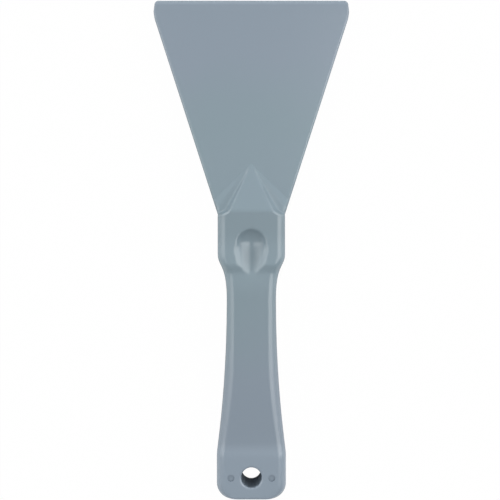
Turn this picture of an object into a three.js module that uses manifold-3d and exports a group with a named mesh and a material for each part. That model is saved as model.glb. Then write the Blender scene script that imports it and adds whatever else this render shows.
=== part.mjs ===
// A moulded hand scraper for lifting paint and other stuck-on layers.
//
// All sizes are millimetres. The tool lies on its back: +Y runs along it to the
// scraping edge, +X runs across it and +Z stands out of its front face. The front
// and the back mirror each other about the plane of the blade.

import * as THREE from 'three';
import Module from 'manifold-3d';
import { mergeVertices, toCreasedNormals } from 'three/addons/utils/BufferGeometryUtils.js';

// Lengths along the tool
const HANDLE_LENGTH = 146.1; // tail end to the front edge of the thumb block
const BLADE_LENGTH = 110.7; // front edge of the thumb block to the scraping edge
const NOSE_LENGTH = 25.6; // reach of the pointed nose along the blade
const BLOCK_LENGTH = 26.5; // flat face of the thumb block
const RAMP_LENGTH = 5; // slope from the thumb block down to the grip
const SHOULDER_SETBACK = 21.1; // full neck width, behind the front edge of the block
const WAIST_SETBACK = 44.3; // narrowest part of the grip, behind the same edge
const TAIL_LENGTH = 22.9; // straight sides of the tail
const PAD_LENGTH = 20.5; // flat face of the tail
const VALLEY_REACH = 29.5; // low line in front of the tail pad, from the tail end
const SWELL_REACH = 58; // crown of the palm swell, from the tail end

// Widths across the tool
const BLADE_WIDTH = 101.6; // at the widest point
const NECK_WIDTH = 34.6;
const WAIST_WIDTH = 25.3;
const TAIL_WIDTH = 35.4;
const CREST_WIDTH = 22.2; // front edge of the thumb block, between its front corners

// Thicknesses and depths
const HANDLE_THICKNESS = 20; // thumb block and tail pad, face to face
const FOOT_DROP = 1.6; // grip below the block face at the foot of the ramp
const SWELL_DROP = 0.3; // crown of the palm swell below the block face
const VALLEY_DROP = 0.9; // low line in front of the tail pad, below the block face
const BLADE_ROOT = 4.4; // blade where it leaves the handle
const BLADE_TIP = 2.6; // blade behind the edge bevel
const EDGE_LAND = 0.8; // left at the scraping edge

// Rounded edges
const TAIL_CORNER = 9; // tail corners, seen from the front
const TAIL_END_ROUND = 1.2; // end of the tail, seen from the side
const TAIL_EDGE = 3.8;
const GRIP_EDGE = 4.4;
const BLOCK_EDGE = 3.8;
const BLADE_EDGE = 1.2;
const HANDLE_FLATNESS = 1.4; // of the handle's edges: 1 is a quarter round, 2 a straight bevel

// How far each curve of the handle holds its direction at both ends
const FLARE_LEAVE = 3;
const FLARE_ARRIVE = 46;
const NECK_LEAVE = 18;
const NECK_ARRIVE = 6;
const PAD_EASE = 4;
const VALLEY_EASE = 8;
const SWELL_EASE = 12;
const RAMP_EASE = 2;

// Blade corners and scraping edge
const WIDEST_SETBACK = 5.4; // widest point behind the scraping edge
const CORNER_EASE = 2.5; // half the length of the curve into the widest point
const CORNER_LEAN = 0.4; // how far the sides draw in again at the edge
const CORNER_ROUND = 1.4;
const EDGE_BEVEL = 2.2; // length of the bevel behind the scraping edge

// Nose: angles in degrees, from the centreline unless noted
const FLANK_SPREAD = 29.5; // foot of each steep flank on the low step
const STEP_SPREAD = 37.5; // outer edge of the low step
const STEP_RISE = 4.7; // slope of the low step above the blade
const SKIRT_SPREAD = 45.5; // foot of each skirt on the blade
const CORNER_SPREAD = 62; // front corners of the thumb block
const CORNER_TILT = 20; // how far those corners lean back

// Thumb rest
const SCOOP_RADIUS = 11; // of the round channel
const SCOOP_DEPTH = 3.6; // below the block face at the closed end
const SCOOP_SETBACK = 15.8; // centre of the closed end behind the front edge
const SCOOP_RUNOUT = 1.5; // open end, past the foot of the ramp

// Hanging hole and the moulding marks beside it
const HOLE_DIAMETER = 10.3;
const HOLE_SETBACK = 11.3; // centre from the tail end
const HOLE_RIM = 0.6; // rounding of the rim
const MARK_DIAMETER = 3.4;
const MARK_SPACING = 20.8;
const MARK_OFFSET = 0.6; // nearer the tail end than the hole
const MARK_DEPTH = 1.2;

// Tang inside the handle
const TANG_LENGTH = 78; // behind the front edge of the thumb block
const TANG_COVER = 4.8; // handle wall beside the tang at the waist
const TANG_SHOULDER = 10; // length of the sloping shoulders
const SHOULDER_INSET = 0.8; // blade at neck width, behind the front edge of the block
const KEYHOLE_DIAMETER = 7;
const KEYHOLE_PITCH = 21;
const KEYHOLE_MARGIN = 11; // end of the tang to the first keyhole
const MOULD_GAP = 0.3; // between the tang and the handle around it

// Facets
const EDGE_STEPS = 5; // along each rounded corner of a section
const CURVE_STEPS = 8; // along each curve of an outline
const RIM_STEPS = 4; // along the rounded rim of the hanging hole
const ROUND_STEPS = 36; // around holes and channels
const CUTTER_SIZE = 160; // reach of the blocks that shape the nose

const HALF_HANDLE = HANDLE_THICKNESS / 2;
const HALF_BLADE = BLADE_ROOT / 2;
const HALF_NECK = NECK_WIDTH / 2;
const OVERALL_LENGTH = HANDLE_LENGTH + BLADE_LENGTH;
const NOSE_TIP = HANDLE_LENGTH + NOSE_LENGTH;
const SHOULDER = HANDLE_LENGTH - SHOULDER_SETBACK;
const WAIST = HANDLE_LENGTH - WAIST_SETBACK;
const RAMP_TOP = HANDLE_LENGTH - BLOCK_LENGTH;
const RAMP_FOOT = RAMP_TOP - RAMP_LENGTH;
const FACES = [1, -1]; // front and back

const wasm = await Module();
wasm.setup();

// A closed three.js geometry as a solid for unions and cuts.
function solid(geometry) {
  const bare = geometry.clone();
  bare.deleteAttribute('normal');
  bare.deleteAttribute('uv');
  const welded = mergeVertices(bare, 1e-4);
  const corners = welded.index.array;
  const triangles = [];
  for (let i = 0; i < corners.length; i += 3) {
    const [a, b, c] = corners.slice(i, i + 3);
    if (a !== b && b !== c && c !== a) {
      triangles.push(a, b, c);
    }
  }
  return new wasm.Manifold(new wasm.Mesh({
    numProp: 3,
    vertProperties: new Float32Array(welded.attributes.position.array),
    triVerts: new Uint32Array(triangles),
  }));
}

function cutAway(shape, cuts) {
  return cuts.reduce((rest, cut) => rest.subtract(cut), shape);
}

// A finished solid as a named mesh with soft curves and crisp edges.
function namedMesh(name, shape, material) {
  const { vertProperties, triVerts } = shape.getMesh();
  const geometry = new THREE.BufferGeometry();
  geometry.setAttribute('position', new THREE.BufferAttribute(vertProperties, 3));
  geometry.setIndex(new THREE.BufferAttribute(triVerts, 1));
  const mesh = new THREE.Mesh(toCreasedNormals(geometry, Math.PI / 6), material);
  mesh.name = name;
  return mesh;
}

// A size that changes along the tool, drawn as a path of (distance, size).
class Profile extends THREE.Path {
  // Curve to a new size, level at both ends.
  easeTo(distance, size, leave, arrive) {
    const { x, y } = this.currentPoint;
    this.bezierCurveTo(x + leave, y, distance - arrive, size, distance, size);
  }

  distances() {
    return this.getPoints(CURVE_STEPS).map((point) => point.x);
  }

  at(distance) {
    const points = this.getPoints(CURVE_STEPS);
    const next = points.findIndex((point) => point.x >= distance);
    if (next < 1) {
      return next === 0 ? points[0].y : points.at(-1).y;
    }
    const [before, after] = points.slice(next - 1, next + 1);
    const share = (distance - before.x) / (after.x - before.x);
    return THREE.MathUtils.lerp(before.y, after.y, share);
  }
}

// One section across the tool: a rectangle with rounded or flattened corners.
function section(distance, halfWidth, halfHeight, round, flatness) {
  const points = [];
  const sides = [[1, 1], [-1, 1], [-1, -1], [1, -1]];
  sides.forEach(([sideX, sideZ], quarter) => {
    for (let step = 0; step <= EDGE_STEPS; step += 1) {
      const angle = (quarter + step / EDGE_STEPS) * Math.PI / 2;
      const x = sideX * (halfWidth - round + round * Math.abs(Math.cos(angle)) ** flatness);
      const z = sideZ * (halfHeight - round + round * Math.abs(Math.sin(angle)) ** flatness);
      points.push(x, distance, z);
    }
  });
  return points;
}

// A solid drawn through sections wherever one of its profiles bends.
function loft(halfWidth, halfHeight, round, flatness) {
  const bends = [halfWidth, halfHeight, round].flatMap((profile) => profile.distances());
  const distances = bends.sort((a, b) => a - b)
    .filter((value, i, all) => i === 0 || value - all[i - 1] > 0.02);
  const around = 4 * (EDGE_STEPS + 1);
  const positions = distances.flatMap((distance) => {
    const sizes = [halfWidth, halfHeight, round].map((profile) => profile.at(distance));
    return section(distance, ...sizes, flatness);
  });
  const triangles = [];
  for (let row = 0; row < distances.length - 1; row += 1) {
    for (let i = 0; i < around; i += 1) {
      const here = row * around + i;
      const beside = row * around + (i + 1) % around;
      triangles.push(here, here + around, beside);
      triangles.push(beside, here + around, beside + around);
    }
  }
  const last = (distances.length - 1) * around;
  for (let i = 1; i < around - 1; i += 1) {
    triangles.push(0, i, i + 1);
    triangles.push(last, last + i + 1, last + i);
  }
  const geometry = new THREE.BufferGeometry();
  geometry.setAttribute('position', new THREE.Float32BufferAttribute(positions, 3));
  geometry.setIndex(triangles);
  return solid(geometry);
}

// A straight pin through the tool, front to back.
function pin(x, y, z, radius, height) {
  const geometry = new THREE.CylinderGeometry(radius, radius, height, ROUND_STEPS);
  geometry.rotateX(Math.PI / 2);
  geometry.translate(x, y, z);
  return solid(geometry);
}

// A block with one side on the plane of three points, filling all that lies outside it.
function outsideOf(face, a, b, c) {
  const { normal } = new THREE.Plane().setFromCoplanarPoints(a, b, c);
  if (normal.z * face < 0) {
    normal.negate();
  }
  const up = new THREE.Vector3(0, 0, 1);
  const block = new THREE.BoxGeometry(CUTTER_SIZE, CUTTER_SIZE, CUTTER_SIZE);
  block.translate(0, 0, CUTTER_SIZE / 2);
  block.applyQuaternion(new THREE.Quaternion().setFromUnitVectors(up, normal));
  block.translate(a.x, a.y, a.z);
  return solid(block);
}

// Keyhole centres along the tang; a longer tang gains keyholes.
function keyholes() {
  const tangEnd = HANDLE_LENGTH - TANG_LENGTH;
  const room = TANG_LENGTH - TANG_SHOULDER - KEYHOLE_MARGIN - KEYHOLE_DIAMETER;
  const count = Math.max(1, Math.floor(room / KEYHOLE_PITCH) + 1);
  return Array.from({ length: count }, (_, i) => tangEnd + KEYHOLE_MARGIN + i * KEYHOLE_PITCH);
}

// Blade with its tang. A grown copy is the space that the handle leaves for it.
function bladeSolid(grow) {
  const tangEnd = HANDLE_LENGTH - TANG_LENGTH - grow;
  const shoulder = HANDLE_LENGTH - SHOULDER_INSET - grow;
  const edge = OVERALL_LENGTH + grow;
  const halfTang = WAIST_WIDTH / 2 - TANG_COVER + grow;
  const root = HALF_NECK + grow;
  const widest = BLADE_WIDTH / 2 + grow;
  const corner = widest - CORNER_LEAN;

  const bend = new THREE.Vector2(edge - WIDEST_SETBACK - CORNER_EASE, widest);
  const down = new THREE.Vector2(shoulder, root).sub(bend).normalize();
  const sideEnd = bend.clone().addScaledVector(down, CORNER_EASE);

  const plan = new Profile();
  plan.moveTo(tangEnd, halfTang - BLADE_EDGE);
  plan.lineTo(tangEnd + BLADE_EDGE, halfTang);
  plan.lineTo(shoulder - TANG_SHOULDER, halfTang);
  plan.lineTo(shoulder, root);
  plan.lineTo(sideEnd.x, sideEnd.y);
  plan.quadraticCurveTo(bend.x, bend.y, bend.x + CORNER_EASE, widest);
  plan.lineTo(edge - CORNER_ROUND, corner);
  plan.quadraticCurveTo(edge, corner, edge, corner - CORNER_ROUND);

  const thickness = new Profile();
  thickness.moveTo(tangEnd, HALF_BLADE + grow);
  thickness.lineTo(NOSE_TIP, HALF_BLADE + grow);
  thickness.lineTo(edge - EDGE_BEVEL, BLADE_TIP / 2 + grow);
  thickness.lineTo(edge, EDGE_LAND / 2 + grow);

  const round = new Profile();
  round.moveTo(tangEnd, BLADE_EDGE + grow);
  round.lineTo(edge - EDGE_BEVEL, BLADE_EDGE + grow);
  round.lineTo(edge, EDGE_LAND * 0.4 + grow);

  const holes = keyholes().map((y) => pin(0, y, 0, KEYHOLE_DIAMETER / 2 - grow, BLADE_ROOT * 2));
  return cutAway(loft(plan, thickness, round, 1), holes);
}

// Grip, palm swell, tail and thumb block as one run of sections.
function gripSolid() {
  const tailSide = TAIL_WIDTH / 2 - TAIL_CORNER;
  const plan = new Profile();
  plan.moveTo(0, tailSide);
  plan.absarc(TAIL_CORNER, tailSide, TAIL_CORNER, Math.PI, Math.PI / 2, true);
  plan.lineTo(TAIL_LENGTH, TAIL_WIDTH / 2);
  plan.easeTo(WAIST, WAIST_WIDTH / 2, FLARE_LEAVE, FLARE_ARRIVE);
  plan.easeTo(SHOULDER, HALF_NECK, NECK_LEAVE, NECK_ARRIVE);
  plan.lineTo(NOSE_TIP, HALF_NECK);

  const height = new Profile();
  height.moveTo(0, HALF_HANDLE - TAIL_END_ROUND);
  height.quadraticCurveTo(0, HALF_HANDLE, TAIL_END_ROUND, HALF_HANDLE);
  height.lineTo(PAD_LENGTH, HALF_HANDLE);
  height.easeTo(VALLEY_REACH, HALF_HANDLE - VALLEY_DROP, PAD_EASE, PAD_EASE);
  height.easeTo(SWELL_REACH, HALF_HANDLE - SWELL_DROP, VALLEY_EASE, SWELL_EASE);
  height.easeTo(RAMP_FOOT, HALF_HANDLE - FOOT_DROP, SWELL_EASE, VALLEY_EASE);
  height.easeTo(RAMP_TOP, HALF_HANDLE, RAMP_EASE, RAMP_EASE);
  height.lineTo(NOSE_TIP, HALF_HANDLE);

  const round = new Profile();
  round.moveTo(0, TAIL_EDGE);
  round.lineTo(TAIL_LENGTH, TAIL_EDGE);
  round.easeTo(WAIST, GRIP_EDGE, SWELL_EASE, SWELL_EASE);
  round.easeTo(SHOULDER, BLOCK_EDGE, VALLEY_EASE, VALLEY_EASE);
  round.lineTo(NOSE_TIP, BLOCK_EDGE);

  return loft(plan, height, round, HANDLE_FLATNESS);
}

// Handle body with a pointed nose over each face of the blade: a sloping roof with
// steep flanks, standing on a low step with skirts, in front of slanted block corners.
function bodySolid() {
  const roof = [];
  const flanks = [];
  const steps = [];
  const corners = [];
  for (const face of FACES) {
    const tip = new THREE.Vector3(0, NOSE_TIP, face * HALF_BLADE);
    const crest = (side) => new THREE.Vector3(side * CREST_WIDTH / 2, HANDLE_LENGTH, face * HALF_HANDLE);
    const line = (side, spread, rise) => {
      const angle = THREE.MathUtils.degToRad(spread);
      const climb = Math.tan(THREE.MathUtils.degToRad(rise));
      return new THREE.Vector3(side * Math.tan(angle), -1, face * climb).add(tip);
    };
    roof.push(outsideOf(face, tip, crest(1), crest(-1)));
    steps.push(outsideOf(face, tip, line(1, STEP_SPREAD, STEP_RISE), line(-1, STEP_SPREAD, STEP_RISE)));
    for (const side of [1, -1]) {
      flanks.push(outsideOf(face, tip, crest(side), line(side, FLANK_SPREAD, STEP_RISE)));
      steps.push(outsideOf(face, tip, line(side, STEP_SPREAD, STEP_RISE), line(side, SKIRT_SPREAD, 0)));
      corners.push(cornerCut(face, side, crest(side)));
    }
  }
  const grip = cutAway(gripSolid(), roof);
  return cutAway(grip, flanks).add(cutAway(grip, steps)).add(cutAway(grip, corners));
}

// Slanted front corner of the thumb block, leaning back a little.
function cornerCut(face, side, crest) {
  const turn = THREE.MathUtils.degToRad(CORNER_SPREAD);
  const lean = Math.tan(THREE.MathUtils.degToRad(CORNER_TILT));
  const run = new THREE.Vector3(side * Math.sin(turn), -Math.cos(turn), 0);
  const down = new THREE.Vector3(side * Math.cos(turn) * lean, Math.sin(turn) * lean, -face);
  return outsideOf(face, crest, run.add(crest), down.add(crest));
}

// Round-ended channel for the thumb, rising to the grip at its open end.
function scoopCut(face) {
  const floor = (drop) => face * (HALF_HANDLE - drop + SCOOP_RADIUS);
  const closed = new THREE.Vector3(0, HANDLE_LENGTH - SCOOP_SETBACK, floor(SCOOP_DEPTH));
  const open = new THREE.Vector3(0, RAMP_FOOT - SCOOP_RUNOUT, floor(FOOT_DROP));
  const along = open.clone().sub(closed);
  const channel = new THREE.CapsuleGeometry(SCOOP_RADIUS, along.length(), CURVE_STEPS, ROUND_STEPS);
  const up = new THREE.Vector3(0, 1, 0);
  channel.applyQuaternion(new THREE.Quaternion().setFromUnitVectors(up, along.normalize()));
  const middle = closed.lerp(open, 0.5);
  channel.translate(middle.x, middle.y, middle.z);
  return solid(channel);
}

// Hanging hole with a rounded rim on both faces.
function holeCut() {
  const radius = HOLE_DIAMETER / 2;
  const mouth = radius + HOLE_RIM;
  const clear = HALF_HANDLE + HOLE_RIM;
  const outline = new THREE.Path();
  outline.moveTo(0, -clear);
  outline.lineTo(mouth, -clear);
  outline.lineTo(mouth, -HALF_HANDLE);
  outline.quadraticCurveTo(radius, -HALF_HANDLE, radius, HOLE_RIM - HALF_HANDLE);
  outline.lineTo(radius, HALF_HANDLE - HOLE_RIM);
  outline.quadraticCurveTo(radius, HALF_HANDLE, mouth, HALF_HANDLE);
  outline.lineTo(mouth, clear);
  outline.lineTo(0, clear);
  const geometry = new THREE.LatheGeometry(outline.getPoints(RIM_STEPS), ROUND_STEPS);
  geometry.rotateX(Math.PI / 2);
  geometry.translate(0, HOLE_SETBACK, 0);
  return solid(geometry);
}

// Shallow round moulding mark on the front of the tail.
function markCut(side) {
  const x = side * MARK_SPACING / 2;
  const y = HOLE_SETBACK - MARK_OFFSET;
  return pin(x, y, HALF_HANDLE, MARK_DIAMETER / 2, MARK_DEPTH * 2);
}

// The whole handle, moulded around the tang and through its keyholes.
function handleSolid() {
  const scoops = FACES.map(scoopCut);
  const marks = [1, -1].map(markCut);
  return cutAway(bodySolid(), [...scoops, holeCut(), ...marks, bladeSolid(MOULD_GAP)]);
}

const bladePlastic = new THREE.MeshStandardMaterial({ color: 0x8d9da7, roughness: 0.5 });
const handlePlastic = new THREE.MeshStandardMaterial({ color: 0x8798a3, roughness: 0.5 });

const scraper = new THREE.Group();
scraper.name = 'paint_scraper';
scraper.add(namedMesh('blade', bladeSolid(0), bladePlastic));
scraper.add(namedMesh('handle', handleSolid(), handlePlastic));
scraper.position.set(0, -OVERALL_LENGTH / 2, HALF_HANDLE);

export default scraper;
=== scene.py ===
"""Moulded hand scraper: the blade, the handle moulded over its tang, and a plain studio around them."""

import math

import bpy
import numpy as np
from bpy.props import FloatProperty, FloatVectorProperty, PointerProperty
from bpy.types import Operator, Panel, PropertyGroup
from mathutils import Euler, Matrix, Vector
from mathutils.geometry import interpolate_bezier


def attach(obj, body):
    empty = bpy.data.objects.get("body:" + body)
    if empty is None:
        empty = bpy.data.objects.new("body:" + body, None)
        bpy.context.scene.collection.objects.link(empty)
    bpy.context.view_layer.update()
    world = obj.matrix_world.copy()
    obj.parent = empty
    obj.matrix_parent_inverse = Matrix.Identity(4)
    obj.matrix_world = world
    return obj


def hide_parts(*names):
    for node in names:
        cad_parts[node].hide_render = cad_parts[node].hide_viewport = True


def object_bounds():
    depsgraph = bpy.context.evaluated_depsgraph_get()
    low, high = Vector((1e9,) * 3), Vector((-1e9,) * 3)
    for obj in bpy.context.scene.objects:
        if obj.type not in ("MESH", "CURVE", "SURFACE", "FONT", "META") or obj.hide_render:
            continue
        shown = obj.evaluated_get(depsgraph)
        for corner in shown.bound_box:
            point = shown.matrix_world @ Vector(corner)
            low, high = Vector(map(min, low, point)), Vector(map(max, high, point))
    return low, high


bl_info = {
    "name": "Moulded Hand Scraper",
    "version": (1, 0, 0),
    "blender": (4, 5, 0),
    "location": "View3D > Sidebar > Scraper",
    "description": "Builds a moulded plastic scraper and its studio",
    "category": "Object",
}

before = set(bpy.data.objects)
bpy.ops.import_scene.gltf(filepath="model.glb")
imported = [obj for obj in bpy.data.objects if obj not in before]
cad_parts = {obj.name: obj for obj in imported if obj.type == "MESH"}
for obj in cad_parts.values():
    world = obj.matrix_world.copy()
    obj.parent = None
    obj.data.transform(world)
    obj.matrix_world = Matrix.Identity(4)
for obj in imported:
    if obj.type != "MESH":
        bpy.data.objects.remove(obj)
CAD_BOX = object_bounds()
LOW, HIGH = CAD_BOX

# The two faces of the tool, and its two sides
BOTH = (1, -1)

# Lengths of the handle's parts and places along it, in metres
LENGTH = HIGH[1] - LOW[1]
NOSE_LENGTH = 0.0261
BLOCK_LENGTH = 0.026
RAMP_LENGTH = 0.005
SHOULDER_SETBACK = 0.0211
WAIST_SETBACK = 0.0443
TAIL_LENGTH = 0.0229
PAD_LENGTH = 0.0205
VALLEY_REACH = 0.0295
SWELL_REACH = 0.058
TAIL_CORNER = 0.0078
TAIL_END_ROUND = 0.0012
MARK_OFFSET = 0.0002

# Eased bends, in metres: the length leaving the last size and the length arriving at the next
WAIST_EASE = (0.003, 0.046)
SHOULDER_EASE = (0.018, 0.006)
VALLEY_EASE = (0.004, 0.004)
SWELL_EASE = (0.008, 0.012)
FOOT_EASE = (0.020, 0.008)
RAMP_EASE = (0.002, 0.002)
BEVEL_EASE = (0.020, 0.020)

# Nose and the block's slanted corners, in metres and radians
CREST_WIDTH = 0.0222
CREST_ADVANCE = 0.0008
FLANK_SPREAD = math.radians(29.5)
STEP_SPREAD = math.radians(37.5)
STEP_RISE = math.radians(4.7)
STEP_INSET = 0.0005
SKIRT_SPREAD = math.radians(45.5)
CORNER_SPREAD = math.radians(62)
CORNER_LEAN_BACK = math.radians(20)
FACET_LEAN = math.radians(41)
FACET_DEPTH = 0.0005
FACET_REACH = 0.004
FACET_CUT = 0.002

# Thumb rest, in metres
SCOOP_STOP = 0.0015
SCOOP_FLOOR = 0.0003
LIP_SETBACK = 0.003
LIP_FOOT_SHARE = 0.97

# Blade, its tang and keyholes, in metres, and shares of its other sizes
WIDEST_SETBACK = 0.0054
CORNER_EASE = 0.0025
CORNER_LEAN = 0.0004
CORNER_ROUND = 0.0022
SHOULDER_INSET = 0.0008
TANG_LENGTH = 0.078
TANG_COVER = 0.0048
TANG_SHOULDER = 0.010
KEYHOLE_PITCH = 0.021
KEYHOLE_MARGIN = 0.011
KEYHOLE_COUNT = 3
TIP_ROUND_SHARE = 0.95
EDGE_EASE_SHARE = 1 / 3
EDGE_THIN_SHARE = 1 / 2
EDGE_ROUND_SHARE = 1 / 5

# Fineness of the surfaces
ROUND_PROFILE = 0.5
EDGE_PROFILE = 0.42
ROUND_PULL = 0.55
CURVE_STEPS = 12
BLADE_SEGMENTS = 6
GRIP_SEGMENTS = 8
STEP_SEGMENTS = 4
PIN_STEPS = 64
ROUND_STEPS = 96
BLADE_CREASE = math.radians(28)
HANDLE_CREASE = math.radians(32)
FACING = 0.9

# Cuts and joins, in metres
STATION_GAP = 0.00002
CUT_TOLERANCE = 1e-7
CUT_OVER = 0.0005
CORE_INSET = 0.0002
CORE_REACH = 0.008
ROOM_GAP = 0.00002

# Skin's smoothing; a zone is its first and last place behind the block's front, and half width
SMOOTH_FACTOR = 0.5
SKIN_ROUNDS = 4
NOSE_ZONE = (-0.05, -0.0008, 0.05)
NOSE_ROUNDS = 14
THUMB_ZONE = (0.006, 0.036, 0.0105)
THUMB_ROUNDS = 3
MOUTH_ZONE = (0.023, 0.034, 0.0075)
MOUTH_ROUNDS = 24

# Plastic: the drift of its colour, its mould grain and its scuff lines
PLASTIC_IOR = 1.49
DRIFT_CENTRE = 0.015
DRIFT_START = 0.04
DRIFT_END = 0.11
DRIFT_TINT = (1, -0.2, 0.7)
DRIFT_ONSET = 0.1
FLOW_SCALE = 28
FLOW_DETAIL = 4
FLOW_SHARE = 0.6
GRAIN_SCALE = 4500
GRAIN_DETAIL = 3
GRAIN_DEPTH = 0.00004
SCUFF_TURN = math.radians(8)
SCUFF_SCALE = (2200, 45, 900)
SCUFF_DETAIL = 2
SCUFF_START = 0.35
SCUFF_END = 0.75

# Painted light and shade: how bright the paler places stay, where they fade, and the painted shade on
# the floor of the thumb rests
TAIL_SHADE = 1.0
NOSE_SHADE = 0.995
NOSE_FADE_AHEAD = 0.003
NOSE_FADE_BEHIND = 0.001
THUMB_SHADE = 0.995
THUMB_FADE = 0.0182
# Painted shade on the floor of the thumb rests: how much darker, where it lies and how far it reaches
THUMB_REST_SHADE = 0.13
THUMB_REST_SHADE_SETBACK = 0.0235
THUMB_REST_SHADE_DEPTH = 0.003
THUMB_REST_SHADE_REACH = (0.0066, 0.0098, 0.005)
THUMB_REST_SHADE_CORE = 0.25

# Floor, in metres: its tone, its white share to the camera, and the painted shade it shows in near
# reflections
FLOOR_SIZE = 6
FLOOR_GAP = 0.0003
FLOOR_PALE = 0.85
FLOOR_GLOW = 0.985
FLOOR_NEAR = 0.025
FLOOR_SHADE = 0.5

# Room: its level and slope along each axis, and the bright band's lean towards +Y
ROOM_LEVEL = 0.36
ROOM_LEAN = (-0.18, 0.05, 0)
HORIZON_LEVEL = 1.8
HORIZON_HEIGHT = 0.15
HORIZON_SPREAD = 0.13
HORIZON_LEAN = 1.8

# Lamps and camera, in metres, with the lens in millimetres
LAMP_DISTANCE = 3
CAMERA_LENS = 61.6
CAMERA_PLACE = (-0.0007, -0.0012, 0.455)


class BladeSizes(PropertyGroup):
    """Sizes of the blade."""

    width: FloatProperty(
        name="Width", description="Blade across its widest point",
        default=0.1016, min=0.03, unit="LENGTH")
    root: FloatProperty(
        name="Root Thickness", description="Blade thickness where it leaves the handle",
        default=0.0044, min=0.001, unit="LENGTH")
    tip: FloatProperty(
        name="Tip Thickness", description="Blade thickness behind the edge bevel",
        default=0.0026, min=0.0005, unit="LENGTH")
    land: FloatProperty(
        name="Edge Land", description="Thickness left at the scraping edge",
        default=0.0008, min=0.0002, unit="LENGTH")
    bevel: FloatProperty(
        name="Edge Bevel", description="Length of the bevel behind the scraping edge",
        default=0.0022, min=0.0, unit="LENGTH")
    round: FloatProperty(
        name="Side Rounding", description="Radius along the blade's long edges",
        default=0.0012, min=0.0001, unit="LENGTH")
    keyhole: FloatProperty(
        name="Keyhole", description="Diameter of the keyholes through the tang",
        default=0.007, min=0.001, unit="LENGTH")


class HandleSizes(PropertyGroup):
    """Sizes of the handle."""

    length: FloatProperty(
        name="Length", description="Tail end to the front edge of the thumb block",
        default=0.1461, min=0.05, unit="LENGTH")
    thickness: FloatProperty(
        name="Thickness", description="Thumb block and tail pad, face to face",
        default=0.020, min=0.008, unit="LENGTH")
    neck: FloatProperty(
        name="Neck Width", description="Width of the thumb block",
        default=0.0346, min=0.01, unit="LENGTH")
    waist: FloatProperty(
        name="Waist Width", description="Narrowest part of the grip",
        default=0.0253, min=0.01, unit="LENGTH")
    tail: FloatProperty(
        name="Tail Width", description="Width of the tail",
        default=0.0354, min=0.01, unit="LENGTH")
    foot_drop: FloatProperty(
        name="Foot Drop", description="Grip below the block face at the foot of the ramp",
        default=0.0016, min=0.0, unit="LENGTH")
    swell_drop: FloatProperty(
        name="Swell Drop", description="Crown of the palm swell below the block face",
        default=0.0003, min=0.0, unit="LENGTH")
    valley_drop: FloatProperty(
        name="Valley Drop", description="Low line in front of the tail pad",
        default=0.0006, min=0.0, unit="LENGTH")
    tail_edge: FloatProperty(
        name="Tail Edge", description="Edge bevel along the tail",
        default=0.0038, min=0.0005, unit="LENGTH")
    grip_edge: FloatProperty(
        name="Grip Edge", description="Edge bevel along the grip",
        default=0.0046, min=0.0005, unit="LENGTH")
    block_edge: FloatProperty(
        name="Block Edge", description="Edge bevel along the thumb block",
        default=0.0038, min=0.0005, unit="LENGTH")
    scoop_radius: FloatProperty(
        name="Thumb Rest Radius", description="Radius of the round channel for the thumb",
        default=0.0091, min=0.004, unit="LENGTH")
    scoop_depth: FloatProperty(
        name="Thumb Rest Depth", description="Depth of the channel at its closed end",
        default=0.0041, min=0.0, unit="LENGTH")
    scoop_lip: FloatProperty(
        name="Thumb Rest Lip", description="Depth of the soft lip around the thumb rest",
        default=0.0011, min=0.0, unit="LENGTH")
    scoop_lip_reach: FloatProperty(
        name="Thumb Rest Lip Reach", description="Lip's outer edge from the middle of the thumb rest",
        default=0.0085, min=0.004, unit="LENGTH")
    scoop_setback: FloatProperty(
        name="Thumb Rest Setback", description="Closed end behind the front edge of the block",
        default=0.0158, min=0.0, unit="LENGTH")
    hole: FloatProperty(
        name="Hanging Hole", description="Diameter of the hanging hole",
        default=0.0103, min=0.002, unit="LENGTH")
    hole_setback: FloatProperty(
        name="Hole Setback", description="Centre of the hanging hole from the tail end",
        default=0.0113, min=0.002, unit="LENGTH")
    hole_rim: FloatProperty(
        name="Hole Rim", description="Rounding of the hanging hole's rim",
        default=0.0004, min=0.0, unit="LENGTH")
    mark: FloatProperty(
        name="Moulding Mark", description="Diameter of the round marks beside the hole",
        default=0.0034, min=0.0005, unit="LENGTH")
    mark_spacing: FloatProperty(
        name="Mark Spacing", description="Between the centres of the two marks",
        default=0.0208, min=0.002, unit="LENGTH")
    mark_depth: FloatProperty(
        name="Mark Depth", description="Depth of the moulding marks",
        default=0.0008, min=0.0, unit="LENGTH")
    skin: FloatProperty(
        name="Skin Grain", description="Size of the facets that the handle's skin is rebuilt from",
        default=0.00045, min=0.0002, unit="LENGTH")


class PlasticLook(PropertyGroup):
    """Colour and finish of the moulded plastic."""

    color: FloatVectorProperty(
        name="Colour", description="Blue-grey of the moulded plastic",
        default=(0.2405, 0.3075, 0.357), size=3, min=0.0, max=1.0, subtype="COLOR")
    roughness: FloatProperty(
        name="Roughness", description="Satin finish of the moulded skin",
        default=0.24, min=0.0, max=1.0, subtype="FACTOR")
    gloss: FloatProperty(
        name="Gloss", description="How strongly the skin mirrors the room",
        default=0.72, min=0.0, max=1.0, subtype="FACTOR")
    grain: FloatProperty(
        name="Grain", description="Strength of the fine mould texture",
        default=0.12, min=0.0, max=1.0, subtype="FACTOR")
    drift: FloatProperty(
        name="Drift", description="How far the colour drifts, teal at the neck to violet at both ends",
        default=0.035, min=0.0, max=0.2, subtype="FACTOR")
    scuff: FloatProperty(
        name="Scuffs", description="Extra roughness along the fine scuff lines",
        default=0.012, min=0.0, max=0.5, subtype="FACTOR")
    # Painted shade: the colour of the grip and the block is scaled down to this share
    painted_grip_shade: FloatProperty(
        name="Grip Shade", description="Brightness left where hands darkened the grip and the block",
        default=0.90, min=0.5, max=1.0, subtype="FACTOR")


class ScraperSettings(PropertyGroup):
    """All settings of the scraper."""

    blade: PointerProperty(type=BladeSizes)
    handle: PointerProperty(type=HandleSizes)
    plastic: PointerProperty(type=PlasticLook)


# Places on the tool

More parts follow.
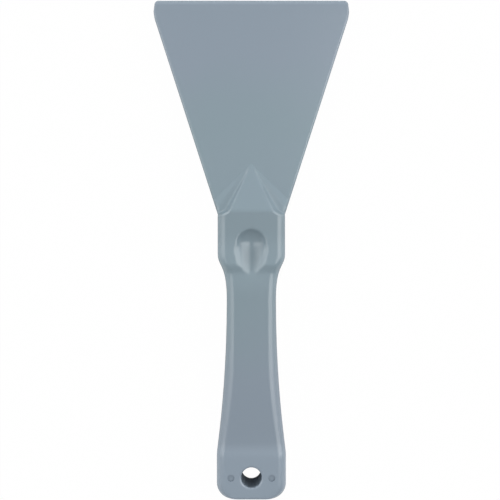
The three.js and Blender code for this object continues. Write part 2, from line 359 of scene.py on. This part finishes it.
def along(distance):
    """World Y of a distance from the tail end."""
    return LOW[1] + distance


def middle():
    """World Z of the plane that the blade lies in."""
    return (LOW[2] + HIGH[2]) / 2


def spot(x, distance, height):
    """World point from a place across, along and above the plane of the blade."""
    return Vector((x, along(distance), middle() + height))


class Profile:
    """A size that changes along the tool, drawn as lines and eased curves."""

    def __init__(self, distance, size):
        self.points = [(distance, size)]

    def line_to(self, distance, size):
        """Straight change to a size at a distance."""
        self.points.append((distance, size))

    def curve_to(self, leave, arrive, end):
        """Curve to an end point, pulled by two points on the way."""
        start = Vector((*self.points[-1], 0))
        corners = [Vector((*point, 0)) for point in (leave, arrive, end)]
        curve = interpolate_bezier(start, *corners, CURVE_STEPS)
        self.points += [tuple(point[:2]) for point in curve[1:]]

    def ease_to(self, distance, size, leave, arrive):
        """Curve that leaves the last size and arrives at the next one level."""
        x, y = self.points[-1]
        self.curve_to((x + leave, y), (distance - arrive, size), (distance, size))

    def round_to(self, distance, size, corner):
        """Quarter round about a corner point."""
        start = Vector(self.points[-1])
        end = Vector((distance, size))
        corner = Vector(corner)
        self.curve_to(start.lerp(corner, ROUND_PULL), end.lerp(corner, ROUND_PULL), end)

    def at(self, distance):
        """Size at a distance."""
        points = np.array(self.points)
        return float(np.interp(distance, points[:, 0], points[:, 1]))


def stations(*profiles):
    """Every distance where one of the profiles bends."""
    distances = sorted(point[0] for profile in profiles for point in profile.points)
    kept = [distances[0]]
    for distance in distances[1:]:
        if distance - kept[-1] > STATION_GAP:
            kept.append(distance)
    return kept


# Modelling steps

def object_mode():
    """Leave edit mode."""
    if bpy.context.mode != "OBJECT":
        bpy.ops.object.mode_set(mode="OBJECT")


def select_nothing():
    """Leave edit mode with nothing selected."""
    object_mode()
    bpy.ops.object.select_all(action="DESELECT")


def only(piece):
    """Select one piece and nothing else."""
    select_nothing()
    bpy.context.view_layer.objects.active = piece
    piece.select_set(True)


def edit(piece):
    """Open one piece in edit mode with everything selected."""
    only(piece)
    bpy.ops.object.mode_set(mode="EDIT")
    bpy.ops.mesh.select_mode(type="VERT")
    bpy.ops.mesh.select_all(action="SELECT")


def settle(piece):
    """Put the piece's place into its mesh."""
    only(piece)
    bpy.ops.object.transform_apply(location=True, rotation=True, scale=True)


def modify(piece, kind, **values):
    """Add one modifier, set it and apply it."""
    only(piece)
    modifier = piece.modifiers.new(kind.title(), kind)
    for name, value in values.items():
        setattr(modifier, name, value)
    bpy.ops.object.modifier_apply(modifier=modifier.name)


def combine(piece, tool, operation):
    """Join a tool piece to a piece, or cut it away, and delete the tool."""
    modify(piece, "BOOLEAN", object=tool, operation=operation, solver="MANIFOLD")
    bpy.data.objects.remove(tool)


def duplicate(piece):
    """Copy a piece with a mesh of its own."""
    only(piece)
    bpy.ops.object.duplicate()
    return bpy.context.active_object


def slice_off(piece, point, normal):
    """Cut a piece along a plane and close it, dropping what lies outside."""
    edit(piece)
    bpy.ops.mesh.bisect(
        plane_co=point, plane_no=normal, use_fill=True, clear_outer=True, threshold=CUT_TOLERANCE)
    object_mode()


def sweep(piece, travel):
    """Stretch a round piece along a way, keeping both of its ends round."""
    settle(piece)
    edit(piece)
    bpy.ops.mesh.duplicate_move(TRANSFORM_OT_translate={"value": travel})
    bpy.ops.mesh.select_all(action="SELECT")
    bpy.ops.mesh.convex_hull()
    object_mode()


def draw_section(centre, half_width, half_height, rounding, profile, segments):
    """Draw the outline of a rounded rectangle across the tool, in the open mesh."""
    bpy.ops.mesh.select_all(action="DESELECT")
    bpy.ops.mesh.primitive_plane_add(size=2, location=centre, rotation=(math.pi / 2, 0, 0))
    bpy.ops.transform.resize(value=(half_width, 1, half_height), center_override=centre)
    bpy.ops.mesh.bevel(
        offset=rounding, segments=segments, profile=profile, affect="VERTICES", clamp_overlap=False)
    bpy.ops.mesh.delete(type="ONLY_FACE")


def loft(name, distances, half_width, half_height, rounding, profile, segments):
    """Draw a section at each distance along the tool, then bridge them all."""
    select_nothing()
    bpy.ops.mesh.primitive_plane_add(size=2)
    piece = bpy.context.active_object
    piece.name = name
    edit(piece)
    bpy.ops.mesh.delete(type="VERT")
    for distance in distances:
        draw_section(
            spot(0, distance, 0), half_width.at(distance), half_height.at(distance),
            rounding.at(distance), profile, segments)
    bpy.ops.mesh.select_all(action="SELECT")
    bpy.ops.mesh.bridge_edge_loops()
    bpy.ops.mesh.select_all(action="SELECT")
    bpy.ops.mesh.fill_holes(sides=0)
    bpy.ops.mesh.select_all(action="SELECT")
    bpy.ops.mesh.normals_make_consistent(inside=False)
    object_mode()
    settle(piece)
    return piece


def pin(name, place, radius, depth, steps=PIN_STEPS):
    """A round pin through the tool, front to back."""
    select_nothing()
    bpy.ops.mesh.primitive_cylinder_add(vertices=steps, radius=radius, depth=depth, location=place)
    piece = bpy.context.active_object
    piece.name = name
    settle(piece)
    return piece


# Blade

def blade_side(settings, grow=0.0):
    """Shoulder and front bend of the blade's long edge, each as a distance and a half width."""
    handle = settings.handle
    shoulder = Vector((handle.length - SHOULDER_INSET - grow, handle.neck / 2 + grow))
    bend = Vector((LENGTH - WIDEST_SETBACK - CORNER_EASE + grow, settings.blade.width / 2 + grow))
    return shoulder, bend


def blade_plan(settings, tang_end, edge, grow):
    """Half width of the blade from the end of its tang to the scraping edge."""
    blade = settings.blade
    half_tang = settings.handle.waist / 2 - TANG_COVER + grow
    shoulder, bend = blade_side(settings, grow)
    side_end = bend + (shoulder - bend).normalized() * CORNER_EASE
    corner = bend.y - CORNER_LEAN
    plan = Profile(tang_end, half_tang - blade.round)
    plan.line_to(tang_end + blade.round, half_tang)
    plan.line_to(shoulder.x - TANG_SHOULDER, half_tang)
    plan.line_to(*shoulder)
    plan.line_to(*side_end)
    plan.round_to(bend.x + CORNER_EASE, bend.y, bend)
    plan.line_to(edge - CORNER_ROUND, corner)
    plan.round_to(edge, corner - CORNER_ROUND, (edge, corner))
    return plan


def blade_body(name, settings, grow=0.0):
    """Blade with its tang and keyholes; a grown copy is the room it takes in the handle."""
    blade = settings.blade
    handle = settings.handle
    tang_end = handle.length - TANG_LENGTH - grow
    edge = LENGTH + grow
    plan = blade_plan(settings, tang_end, edge, grow)

    thickness = Profile(tang_end, blade.root / 2 + grow)
    thickness.line_to(handle.length + NOSE_LENGTH, blade.root / 2 + grow)
    thickness.line_to(edge - blade.bevel, blade.tip / 2 + grow)
    thickness.line_to(edge - blade.land * EDGE_EASE_SHARE, blade.land / 2 + grow)
    thickness.line_to(edge, blade.land * EDGE_THIN_SHARE / 2 + grow)

    rounding = Profile(tang_end, blade.round + grow)
    rounding.line_to(edge - blade.bevel, blade.round * TIP_ROUND_SHARE + grow)
    rounding.line_to(edge, blade.land * EDGE_ROUND_SHARE + grow)

    distances = stations(plan, thickness)
    piece = loft(name, distances, plan, thickness, rounding, ROUND_PROFILE, BLADE_SEGMENTS)
    for i in range(KEYHOLE_COUNT):
        place = spot(0, handle.length - TANG_LENGTH + KEYHOLE_MARGIN + i * KEYHOLE_PITCH, 0)
        keyhole = pin("keyhole", place, blade.keyhole / 2 - grow, blade.root * 2)
        combine(piece, keyhole, "DIFFERENCE")
    return piece


# Handle

def grip_body(name, settings):
    """Tail, grip, palm swell and thumb block as one run of sections, up to the nose tip."""
    handle = settings.handle
    top = handle.thickness / 2
    tip = handle.length + NOSE_LENGTH
    waist = handle.length - WAIST_SETBACK
    shoulder = handle.length - SHOULDER_SETBACK
    ramp_top = handle.length - BLOCK_LENGTH

    plan = Profile(0, handle.tail / 2 - TAIL_CORNER)
    plan.round_to(TAIL_CORNER, handle.tail / 2, (0, handle.tail / 2))
    plan.line_to(TAIL_LENGTH, handle.tail / 2)
    plan.ease_to(waist, handle.waist / 2, *WAIST_EASE)
    plan.ease_to(shoulder, handle.neck / 2, *SHOULDER_EASE)
    plan.line_to(tip, handle.neck / 2)

    height = Profile(0, top - TAIL_END_ROUND)
    height.round_to(TAIL_END_ROUND, top, (0, top))
    height.line_to(PAD_LENGTH, top)
    height.ease_to(VALLEY_REACH, top - handle.valley_drop, *VALLEY_EASE)
    height.ease_to(SWELL_REACH, top - handle.swell_drop, *SWELL_EASE)
    height.ease_to(ramp_top - RAMP_LENGTH, top - handle.foot_drop, *FOOT_EASE)
    height.ease_to(ramp_top, top, *RAMP_EASE)
    height.line_to(tip, top)

    rounding = Profile(0, handle.tail_edge)
    rounding.line_to(TAIL_LENGTH, handle.tail_edge)
    rounding.ease_to(SWELL_REACH, handle.grip_edge, *SWELL_EASE)
    rounding.ease_to(waist, handle.block_edge, *BEVEL_EASE)
    rounding.line_to(tip, handle.block_edge)

    distances = stations(plan, height, rounding)
    return loft(name, distances, plan, height, rounding, EDGE_PROFILE, GRIP_SEGMENTS)


def nose_line(side, spread, rise, face):
    """Direction from the nose tip back towards the block, fanned out and climbing."""
    climb = math.tan(rise) * math.cos(spread)
    return Vector((side * math.sin(spread), -math.cos(spread), face * climb))


def corner_ways(side, face):
    """Directions along a slanted front corner of the block and straight out from it."""
    run = nose_line(side, CORNER_SPREAD, 0, face)
    out = Vector((side * math.cos(CORNER_SPREAD), math.sin(CORNER_SPREAD), 0))
    return run, out


def outward(face, point, one, other):
    """Plane through a point along two directions, facing away from the blade."""
    normal = one.cross(other)
    return point, normal * math.copysign(1, normal.z * face)


def crest_corner(settings, face, side):
    """Point where the roof, a flank and a slanted corner of the block meet."""
    handle = settings.handle
    return spot(side * CREST_WIDTH / 2, handle.length + CREST_ADVANCE, face * handle.thickness / 2)


def step_body(settings):
    """Plain body for the low step, as wide as the blade that it lies on."""
    handle = settings.handle
    shoulder, bend = blade_side(settings)
    plan = Profile(handle.length - BLOCK_LENGTH / 2, shoulder.y - STEP_INSET)
    plan.line_to(shoulder.x, shoulder.y - STEP_INSET)
    plan.line_to(bend.x, bend.y - STEP_INSET)
    height = Profile(0, handle.thickness / 2)
    rounding = Profile(0, handle.block_edge)
    distances = [*stations(plan)[:2], handle.length + NOSE_LENGTH]
    return loft("step", distances, plan, height, rounding, EDGE_PROFILE, STEP_SEGMENTS)


def shape_nose(piece, settings):
    """Cut a pointed nose over each blade face: a roof with steep flanks on a low step with skirts."""
    flanks = []
    steps = []
    corners = []
    for face in BOTH:
        tip = spot(0, settings.handle.length + NOSE_LENGTH, face * settings.blade.root / 2)
        crests = {side: crest_corner(settings, face, side) for side in BOTH}
        edges = {side: nose_line(side, STEP_SPREAD, STEP_RISE, face) for side in BOTH}
        slice_off(piece, *outward(face, tip, crests[1] - tip, crests[-1] - tip))
        steps.append(outward(face, tip, edges[1], edges[-1]))
        for side in BOTH:
            foot = nose_line(side, FLANK_SPREAD, STEP_RISE, face)
            flanks.append(outward(face, tip, crests[side] - tip, foot))
            skirt = nose_line(side, SKIRT_SPREAD, 0, face)
            steps.append(outward(face, tip, edges[side], skirt))
            run, out = corner_ways(side, face)
            down = out * math.tan(CORNER_LEAN_BACK) - Vector((0, 0, face))
            corners.append(outward(face, crests[side], run, down))
    low = step_body(settings)
    block = duplicate(piece)
    for body, cuts in ((piece, flanks), (low, steps), (block, corners)):
        for cut in cuts:
            slice_off(body, *cut)
    combine(piece, low, "UNION")
    combine(piece, block, "UNION")


def corner_facet(settings, face, side):
    """Cutter that leaves a narrow facet along a slanted front corner of the block."""
    run, out = corner_ways(side, face)
    away = out * math.sin(FACET_LEAN) + Vector((0, 0, face * math.cos(FACET_LEAN)))
    turn = Matrix((run, away.cross(run), away)).transposed()
    length = (settings.handle.neck - CREST_WIDTH) / 2 / math.sin(CORNER_SPREAD)
    crest = crest_corner(settings, face, side)
    place = crest + run * length / 2 + away * (FACET_CUT / 2 - FACET_DEPTH)
    select_nothing()
    bpy.ops.mesh.primitive_cube_add(size=1, location=place, rotation=turn.to_euler())
    piece = bpy.context.active_object
    piece.scale = (length, FACET_REACH, FACET_CUT)
    settle(piece)
    return piece


def channel_travel(handle, face):
    """Way from the closed end of the thumb rest to its open end."""
    run = BLOCK_LENGTH + RAMP_LENGTH - SCOOP_STOP - handle.scoop_setback
    rise = handle.scoop_depth - handle.foot_drop - SCOOP_FLOOR
    return Vector((0, -run, face * rise))


def thumb_channel(handle, face):
    """Round-ended channel for the thumb, rising to the grip at its open end."""
    lift = handle.thickness / 2 - handle.scoop_depth + handle.scoop_radius
    select_nothing()
    bpy.ops.mesh.primitive_uv_sphere_add(
        segments=ROUND_STEPS, ring_count=ROUND_STEPS // 2, radius=handle.scoop_radius,
        location=spot(0, handle.length - handle.scoop_setback, face * lift))
    piece = bpy.context.active_object
    sweep(piece, channel_travel(handle, face))
    return piece


def thumb_lip(handle, face):
    """Flared ring that eases the block's face into the thumb channel."""
    radius = handle.scoop_radius
    below = radius - handle.scoop_depth + handle.scoop_lip
    foot = LIP_FOOT_SHARE * math.sqrt(radius ** 2 - below ** 2)
    mouth = foot + (handle.scoop_lip_reach - foot) * (1 + CUT_OVER / handle.scoop_lip)
    lift = handle.thickness / 2 + (CUT_OVER - handle.scoop_lip) / 2
    low, high = (foot, mouth) if face > 0 else (mouth, foot)
    select_nothing()
    bpy.ops.mesh.primitive_cone_add(
        vertices=ROUND_STEPS, radius1=low, radius2=high, depth=handle.scoop_lip + CUT_OVER,
        location=spot(0, handle.length - handle.scoop_setback - LIP_SETBACK, face * lift))
    piece = bpy.context.active_object
    sweep(piece, channel_travel(handle, face))
    return piece


def hanging_hole(handle):
    """Cutter for the hanging hole, flared past both faces of the tail."""
    radius = handle.hole / 2
    straight = handle.thickness / 2 - handle.hole_rim
    reach = handle.hole_rim + CUT_OVER
    centre = spot(0, handle.hole_setback, 0)
    piece = pin("hanging_hole", centre, radius, 2 * straight, ROUND_STEPS)
    flare = (radius + reach) / radius
    for face in BOTH:
        edit(piece)
        bpy.ops.mesh.select_mode(type="FACE")
        bpy.ops.mesh.select_all(action="DESELECT")
        object_mode()
        for polygon in piece.data.polygons:
            polygon.select = polygon.normal.z * face > FACING
        bpy.ops.object.mode_set(mode="EDIT")
        bpy.ops.mesh.extrude_region_move(TRANSFORM_OT_translate={"value": (0, 0, face * reach)})
        bpy.ops.transform.resize(value=(flare, flare, 1), center_override=centre)
        object_mode()
    return piece


def handle_body(name, settings):
    """Grip and nose on a core for the tang, with thumb rests and hanging hole, edges still sharp."""
    handle = settings.handle
    piece = grip_body(name, settings)
    shape_nose(piece, settings)
    core = blade_body("core", settings, -CORE_INSET)
    slice_off(core, spot(0, handle.length + NOSE_LENGTH + CORE_REACH, 0), (0, 1, 0))
    combine(piece, core, "UNION")
    for face in BOTH:
        combine(piece, thumb_channel(handle, face), "DIFFERENCE")
        combine(piece, thumb_lip(handle, face), "DIFFERENCE")
    combine(piece, hanging_hole(handle), "DIFFERENCE")
    return piece


def soften(piece, handle, zone, rounds):
    """Smooth the skin further inside a zone."""
    first, last, half_width = zone
    block_front = along(handle.length)
    inside = [
        vertex.index for vertex in piece.data.vertices
        if first < block_front - vertex.co.y < last and abs(vertex.co.x) < half_width]
    group = piece.vertex_groups.new(name="soft")
    group.add(inside, 1, "REPLACE")
    modify(piece, "SMOOTH", factor=SMOOTH_FACTOR, iterations=rounds, vertex_group=group.name)
    piece.vertex_groups.clear()


def round_skin(piece, handle):
    """Rebuild the skin finely and round its edges, most on the nose and in the thumb rests."""
    modify(piece, "REMESH", mode="VOXEL", voxel_size=handle.skin)
    modify(piece, "SMOOTH", factor=SMOOTH_FACTOR, iterations=SKIN_ROUNDS)
    soften(piece, handle, NOSE_ZONE, NOSE_ROUNDS)
    soften(piece, handle, THUMB_ZONE, THUMB_ROUNDS)
    soften(piece, handle, MOUTH_ZONE, MOUTH_ROUNDS)


def cut_crisp_details(piece, settings):
    """Cut what stays crisp: the corner facets, the round marks and the room for the blade."""
    handle = settings.handle
    for face in BOTH:
        for side in BOTH:
            combine(piece, corner_facet(settings, face, side), "DIFFERENCE")
    for side in BOTH:
        place = spot(
            side * handle.mark_spacing / 2, handle.hole_setback - MARK_OFFSET, handle.thickness / 2)
        combine(piece, pin("mark", place, handle.mark / 2, handle.mark_depth * 2), "DIFFERENCE")
    combine(piece, blade_body("room", settings, ROOM_GAP), "DIFFERENCE")


# Shader nodes

def feed(tree, socket, source):
    """Link a socket to another node's output, or set it to a fixed value."""
    if isinstance(source, bpy.types.NodeSocket):
        tree.links.new(source, socket)
    else:
        socket.default_value = source


def worked_out(tree, kind, operation, sources):
    """Math node of either kind on the sources, in their order."""
    node = tree.nodes.new(kind)
    node.operation = operation
    for socket, source in zip(node.inputs, sources):
        feed(tree, socket, source)
    return node.outputs


def number(tree, operation, *sources):
    """Number worked out from other numbers."""
    return worked_out(tree, "ShaderNodeMath", operation, sources)["Value"]


def vector(tree, operation, *sources):
    """Vector worked out from other vectors."""
    return worked_out(tree, "ShaderNodeVectorMath", operation, sources)["Vector"]


def measure(tree, operation, *sources):
    """Number worked out from vectors."""
    return worked_out(tree, "ShaderNodeVectorMath", operation, sources)["Value"]


def axis(tree, place, name):
    """One coordinate of a place."""
    node = tree.nodes.new("ShaderNodeSeparateXYZ")
    tree.links.new(place, node.inputs["Vector"])
    return node.outputs[name]


def distance_from(tree, value, centre):
    """How far a value lies to either side of a centre."""
    return number(tree, "ABSOLUTE", number(tree, "SUBTRACT", value, centre))


def change(tree, value, start, end, low, high, kind="SMOOTHSTEP"):
    """Go from low to high while the value goes from start to end."""
    node = tree.nodes.new("ShaderNodeMapRange")
    node.interpolation_type = kind
    node.inputs["From Min"].default_value = start
    node.inputs["From Max"].default_value = end
    node.inputs["To Min"].default_value = low
    node.inputs["To Max"].default_value = high
    tree.links.new(value, node.inputs["Value"])
    return node.outputs["Result"]


def noise(tree, place, scale, detail):
    """Soft random pattern over a place."""
    node = tree.nodes.new("ShaderNodeTexNoise")
    node.inputs["Scale"].default_value = scale
    node.inputs["Detail"].default_value = detail
    tree.links.new(place, node.inputs["Vector"])
    return node.outputs["Fac"]


# Plastic

def drifting_color(tree, place, look):
    """Colour with a faint flow in it, drifting from the neck to both ends."""
    reach = distance_from(tree, axis(tree, place, "Y"), DRIFT_CENTRE)
    far = change(tree, reach, DRIFT_START, DRIFT_END, 0, 1)
    flow = noise(tree, place, FLOW_SCALE, FLOW_DETAIL)
    tint = tree.nodes.new("ShaderNodeValToRGB")
    base = Vector(look.color)
    drift = base * Vector(DRIFT_TINT) * look.drift
    near_end, far_end = tint.color_ramp.elements
    near_end.position = DRIFT_ONSET
    near_end.color = (*(base - drift), 1)
    far_end.color = (*(base + drift), 1)
    tree.links.new(number(tree, "MULTIPLY_ADD", flow, FLOW_SHARE, far), tint.inputs["Fac"])
    return tint.outputs["Color"]


def mould_grain(tree, place, look):
    """Fine texture that the mould leaves in the skin."""
    bump = tree.nodes.new("ShaderNodeBump")
    bump.inputs["Strength"].default_value = look.grain
    bump.inputs["Distance"].default_value = GRAIN_DEPTH
    tree.links.new(noise(tree, place, GRAIN_SCALE, GRAIN_DETAIL), bump.inputs["Height"])
    return bump.outputs["Normal"]


def scuffed_roughness(tree, place, look):
    """Satin roughness, a little higher along fine scuff lines."""
    stretch = tree.nodes.new("ShaderNodeMapping")
    stretch.inputs["Rotation"].default_value = (0, 0, SCUFF_TURN)
    stretch.inputs["Scale"].default_value = SCUFF_SCALE
    tree.links.new(place, stretch.inputs["Vector"])
    lines = noise(tree, stretch.outputs["Vector"], 1, SCUFF_DETAIL)
    scuffed = look.roughness + look.scuff
    return change(tree, lines, SCUFF_START, SCUFF_END, look.roughness, scuffed, "LINEAR")


def moulded_plastic(name, look):
    """Satin moulded plastic: drifting colour, fine mould grain and faint scuffs."""
    material = bpy.data.materials.new(name)
    material.use_nodes = True
    tree = material.node_tree
    shader = tree.nodes["Principled BSDF"]
    shader.inputs["IOR"].default_value = PLASTIC_IOR
    shader.inputs["Specular IOR Level"].default_value = look.gloss
    place = tree.nodes.new("ShaderNodeTexCoord").outputs["Object"]
    tree.links.new(drifting_color(tree, place, look), shader.inputs["Base Color"])
    tree.links.new(mould_grain(tree, place, look), shader.inputs["Normal"])
    tree.links.new(scuffed_roughness(tree, place, look), shader.inputs["Roughness"])
    return material


def shade_color(tree, factor):
    """Multiply the plastic's colour by a node's output or a fixed value."""
    color = tree.nodes["Principled BSDF"].inputs["Base Color"]
    shaded = tree.nodes.new("ShaderNodeVectorMath")
    shaded.operation = "SCALE"
    tree.links.new(color.links[0].from_socket, shaded.inputs[0])
    feed(tree, shaded.inputs["Scale"], factor)
    tree.links.new(shaded.outputs["Vector"], color)


def paint_grip_shade(material, handle, shade):
    """Paint shade on the block and the grip, and leave the nose, the thumb's place and the tail paler
    as painted light.
    """
    tree = material.node_tree
    length_axis = axis(tree, tree.nodes["Texture Coordinate"].outputs["Object"], "Y")
    ramp_top = handle.length - BLOCK_LENGTH
    tip = handle.length + NOSE_LENGTH
    zones = (
        (0, TAIL_LENGTH, VALLEY_REACH, TAIL_SHADE),
        (ramp_top, RAMP_LENGTH, THUMB_FADE, THUMB_SHADE),
        (tip, NOSE_LENGTH - NOSE_FADE_AHEAD, NOSE_LENGTH + NOSE_FADE_BEHIND, NOSE_SHADE),
    )
    # Painted light: inside each zone the colour is raised to the zone's brightness; elsewhere the
    # painted grip shade stays
    for centre, pale, fade_end, brightness in zones:
        away = distance_from(tree, length_axis, along(centre))
        shade_color(tree, change(tree, away, pale, fade_end, brightness / shade, 1))
    shade_color(tree, shade)


def paint_thumb_rest_shade(material, handle):
    """Paint shade on the floor of both thumb rests, leaving it a little darker than their walls."""
    tree = material.node_tree
    place = tree.nodes["Texture Coordinate"].outputs["Object"]
    centre = spot(0, handle.length - THUMB_REST_SHADE_SETBACK, 0)
    lift = Vector((0, 0, handle.thickness / 2 - THUMB_REST_SHADE_DEPTH))
    mirrored = vector(tree, "ABSOLUTE", vector(tree, "SUBTRACT", place, centre))
    away = vector(tree, "SUBTRACT", mirrored, lift)
    reach = measure(tree, "LENGTH", vector(tree, "DIVIDE", away, THUMB_REST_SHADE_REACH))
    shade_color(tree, change(tree, reach, THUMB_REST_SHADE_CORE, 1, 1 - THUMB_REST_SHADE, 1))


# Finished pieces

def shade_smooth(piece, crease):
    """Shade the piece smooth up to an angle, led by its large faces."""
    only(piece)
    bpy.ops.object.shade_smooth_by_angle(angle=crease)
    modify(piece, "WEIGHTED_NORMAL", keep_sharp=True)


def finish_piece(piece, node, material):
    """Dress a finished piece and hang it on the frame."""
    piece.data.materials.clear()
    piece.data.materials.append(material)
    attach(piece, "root")
    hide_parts(node)


class SCRAPER_OT_blade(Operator):
    """Model the blade with its tang"""

    bl_idname = "scraper.blade"
    bl_label = "Blade"

    def execute(self, context):
        settings = context.scene.scraper
        piece = blade_body("blade_plate", settings)
        shade_smooth(piece, BLADE_CREASE)
        material = moulded_plastic("blade_satin_plastic", settings.plastic)
        finish_piece(piece, "blade", material)
        return {"FINISHED"}


class SCRAPER_OT_handle(Operator):
    """Model the handle moulded over the tang"""

    bl_idname = "scraper.handle"
    bl_label = "Handle"

    def execute(self, context):
        settings = context.scene.scraper
        handle = settings.handle
        piece = handle_body("handle_moulding", settings)
        round_skin(piece, handle)
        cut_crisp_details(piece, settings)
        shade_smooth(piece, HANDLE_CREASE)
        material = moulded_plastic("handle_satin_plastic", settings.plastic)
        paint_grip_shade(material, handle, settings.plastic.painted_grip_shade)
        paint_thumb_rest_shade(material, handle)
        finish_piece(piece, "handle", material)
        return {"FINISHED"}


# Studio

def softbox(name, turn, tilt, width, height, level):
    """Tall soft lamp aimed at the tool, turned from +X and tilted from straight above, in degrees."""
    lamp = bpy.data.lights.new(name, "AREA")
    lamp.shape = "RECTANGLE"
    lamp.size = width
    lamp.size_y = height
    lamp.energy = level * math.pi * width * height
    holder = bpy.data.objects.new(name, lamp)
    aim = Euler((0, math.radians(tilt), math.radians(turn)))
    holder.location = aim.to_matrix() @ Vector((0, 0, LAMP_DISTANCE))
    holder.rotation_euler = holder.location.to_track_quat("Z", "Y").to_euler()
    bpy.context.scene.collection.objects.link(holder)


def floor_finish():
    """White to the camera and in far reflections, with painted shade in near ones, and a soft shadow.
    """
    material = bpy.data.materials.new("pale_floor")
    material.use_nodes = True
    tree = material.node_tree
    tree.nodes.clear()
    rays = tree.nodes.new("ShaderNodeLightPath").outputs
    far = number(tree, "GREATER_THAN", rays["Ray Length"], FLOOR_NEAR)
    mirrored = number(tree, "MAXIMUM", rays["Is Glossy Ray"], rays["Is Transmission Ray"])
    seen = number(tree, "MAXIMUM", rays["Is Camera Ray"], number(tree, "MULTIPLY", mirrored, far))
    matt = tree.nodes.new("ShaderNodeBsdfDiffuse")
    # Painted shade: reflections see the floor darker than its own tone
    tone = change(tree, rays["Is Glossy Ray"], 0, 1, FLOOR_PALE, FLOOR_SHADE, "LINEAR")
    tree.links.new(tone, matt.inputs["Color"])
    glow = tree.nodes.new("ShaderNodeEmission")
    mix = tree.nodes.new("ShaderNodeMixShader")
    tree.links.new(number(tree, "MULTIPLY", seen, FLOOR_GLOW), mix.inputs["Fac"])
    tree.links.new(matt.outputs["BSDF"], mix.inputs[1])
    tree.links.new(glow.outputs["Emission"], mix.inputs[2])
    output = tree.nodes.new("ShaderNodeOutputMaterial")
    tree.links.new(mix.outputs["Shader"], output.inputs["Surface"])
    return material


def pale_floor():
    """Plain floor just below the tool."""
    select_nothing()
    bpy.ops.mesh.primitive_plane_add(size=FLOOR_SIZE, location=(0, 0, LOW[2] - FLOOR_GAP))
    floor = bpy.context.active_object
    floor.name = "floor"
    settle(floor)
    floor.data.materials.append(floor_finish())


def studio_world():
    """Dim room, white to the camera, with a bright band low around it, brightest beyond the blade."""
    world = bpy.data.worlds.new("studio_world")
    world.use_nodes = True
    tree = world.node_tree
    way = tree.nodes.new("ShaderNodeTexCoord").outputs["Generated"]
    room = number(tree, "ADD", measure(tree, "DOT_PRODUCT", way, ROOM_LEAN), ROOM_LEVEL)
    away = distance_from(tree, axis(tree, way, "Z"), HORIZON_HEIGHT)
    band = change(tree, away, 0, HORIZON_SPREAD, HORIZON_LEVEL, 0)
    ahead = axis(tree, way, "Y")
    share = change(tree, ahead, -1 / HORIZON_LEAN, 1, 0, 1 + HORIZON_LEAN, "LINEAR")
    shown = tree.nodes.new("ShaderNodeMix")
    rays = tree.nodes.new("ShaderNodeLightPath").outputs
    tree.links.new(rays["Is Camera Ray"], shown.inputs["Factor"])
    tree.links.new(number(tree, "MULTIPLY_ADD", band, share, room), shown.inputs["A"])
    shown.inputs["B"].default_value = 1
    background = tree.nodes["Background"]
    background.inputs["Color"].default_value = (1, 1, 1, 1)
    tree.links.new(shown.outputs["Result"], background.inputs["Strength"])
    return world


class SCRAPER_OT_stage(Operator):
    """Set up the floor, the soft lamps, the world and the camera"""

    bl_idname = "scraper.stage"
    bl_label = "Studio"

    def execute(self, context):
        scene = context.scene
        pale_floor()
        softbox("right_softbox", turn=8, tilt=41, width=2.0, height=3.5, level=2.7)
        softbox("left_softbox", turn=175, tilt=42, width=1.5, height=3.1, level=1.9)
        scene.world = studio_world()

        lens = bpy.data.cameras.new("camera")
        lens.lens = CAMERA_LENS
        camera = bpy.data.objects.new("camera", lens)
        camera.location = CAMERA_PLACE
        scene.collection.objects.link(camera)
        scene.camera = camera
        scene.view_settings.view_transform = "Standard"
        return {"FINISHED"}


# Panel and registration

class SCRAPER_PT_panel(Panel):
    """Sizes, colours and buttons of the scraper"""

    bl_idname = "SCRAPER_PT_panel"
    bl_label = "Moulded Hand Scraper"
    bl_space_type = "VIEW_3D"
    bl_region_type = "UI"
    bl_category = "Scraper"

    def draw(self, context):
        settings = context.scene.scraper
        for title, group in (
                ("Blade", settings.blade), ("Handle", settings.handle), ("Plastic", settings.plastic)):
            box = self.layout.box()
            box.label(text=title)
            for name in group.__annotations__:
                box.prop(group, name)
        for operator in (SCRAPER_OT_blade, SCRAPER_OT_handle, SCRAPER_OT_stage):
            self.layout.operator(operator.bl_idname)


CLASSES = (
    BladeSizes,
    HandleSizes,
    PlasticLook,
    ScraperSettings,
    SCRAPER_OT_blade,
    SCRAPER_OT_handle,
    SCRAPER_OT_stage,
    SCRAPER_PT_panel,
)


def register():
    for entry in CLASSES:
        bpy.utils.register_class(entry)
    bpy.types.Scene.scraper = PointerProperty(type=ScraperSettings)


def unregister():
    del bpy.types.Scene.scraper
    for entry in reversed(CLASSES):
        bpy.utils.unregister_class(entry)


def main():
    register()
    bpy.ops.scraper.blade()
    bpy.ops.scraper.handle()
    bpy.ops.scraper.stage()


if __name__ == "__main__":
    main()
